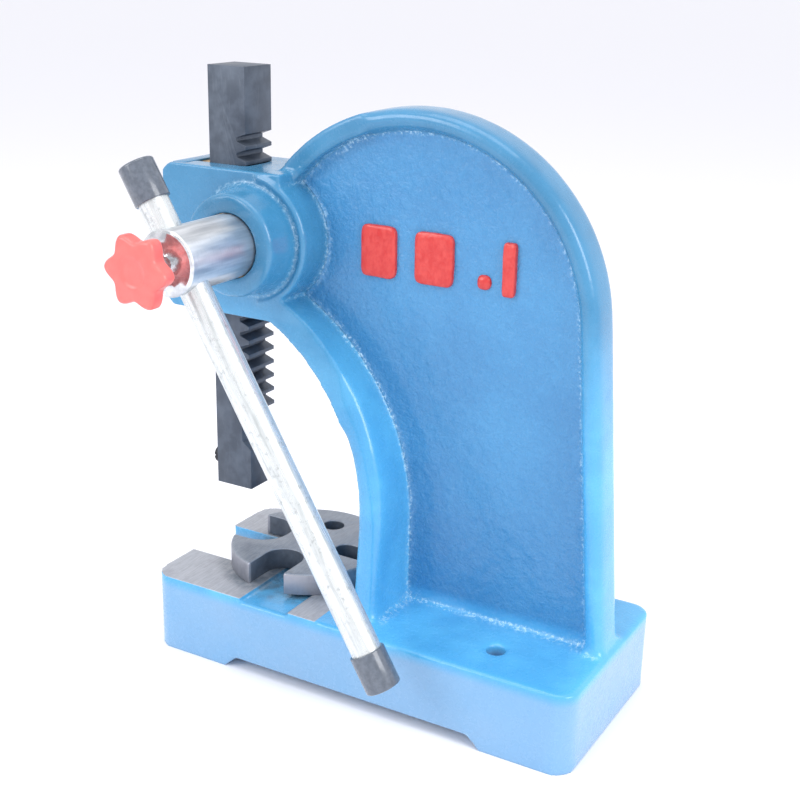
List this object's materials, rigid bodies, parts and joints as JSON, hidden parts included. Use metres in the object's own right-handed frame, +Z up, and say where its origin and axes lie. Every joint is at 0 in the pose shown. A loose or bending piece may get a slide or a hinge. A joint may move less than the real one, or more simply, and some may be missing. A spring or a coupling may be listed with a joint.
{
  "type": "arbor press",
  "caption": "Hand-lever arbor press: C-shaped cast frame on a forked base, square rack ram, pinion shaft with sliding handle, notched turning plate.",
  "frame": {"origin": "midway between the two base bolts, on the underside of the base", "axes": "+Z up; the ram stands at -Y, at the front; the handle, knob and shaft end are on +X"},
  "size_m": [0.1875, 0.298, 0.3485],
  "materials": {
    "blue_enamel": "gloss enamel over rough sand casting, machined seats bare",
    "red_enamel": "brushed on",
    "bronze": "turned",
    "black_oxide": "black oxide, satin",
    "hardware_black": "black oxide screws",
    "nylon": "natural",
    "bright_steel": "turned and polished",
    "plated_bar": "bright plated",
    "red_plastic": "moulded",
    "cap_plastic": "moulded sleeve",
    "bare_iron": "ground faces, rough edges"
  },
  "bodies": {
    "frame": {"frame_casting": "blue_enamel", "cast_marks": "red_enamel", "bush_near": "bronze", "bush_far": "bronze", "front_cover": "blue_enamel", "cover_screws": "hardware_black", "gib_strip": "bronze", "gib_screws": "hardware_black", "gib_lock_nuts": "hardware_black", "brake_screw": "hardware_black", "brake_lock_nut": "hardware_black", "brake_plug": "nylon", "plate_pivot_pin": "bright_steel"},
    "ram": {"ram": "black_oxide"},
    "tool_screw": {"ram_tool_screw": "hardware_black"},
    "pinion": {"pinion_shaft": "bright_steel", "retaining_washer": "bright_steel", "spring_washer": "bright_steel", "retaining_screw": "hardware_black"},
    "knob": {"star_knob": "red_plastic", "knob_stud": "bright_steel"},
    "handle": {"handle_bar": "plated_bar", "handle_cap_upper": "cap_plastic", "handle_cap_lower": "cap_plastic"},
    "plate": {"arbor_plate": "bare_iron"}
  },
  "joints": [
    {"name": "pinion_turn", "type": "hinge", "parent": "frame", "child": "pinion", "pos_m": [0, -0.1677, 0.2555], "axis": [1, 0, 0], "range_deg": [-330, 120]},
    {"name": "ram_slide", "type": "slide", "parent": "frame", "child": "ram", "axis": [0, 0, 1], "range_m": [-0.033, 0.09]},
    {"name": "tool_screw_turn", "type": "hinge", "parent": "ram", "child": "tool_screw", "pos_m": [0, -0.208, 0.1085], "axis": [0, -1, 0], "range_deg": [-720, 720]},
    {"name": "knob_turn", "type": "hinge", "parent": "pinion", "child": "knob", "pos_m": [0.12, -0.1677, 0.2555], "axis": [1, 0, 0], "range_deg": [-720, 720]},
    {"name": "handle_slide", "type": "slide", "parent": "pinion", "child": "handle", "axis": [0, -0.5105, 0.8599], "range_m": [-0.014, 0.2]},
    {"name": "plate_turn", "type": "hinge", "parent": "frame", "child": "plate", "pos_m": [-0.0053, -0.149, 0.0485], "axis": [0, 0, 1], "continuous": true}
  ],
  "couplings": [
    {"joint": "ram_slide", "follows": "pinion_turn", "m_per_rad": -0.0154}
  ]
}
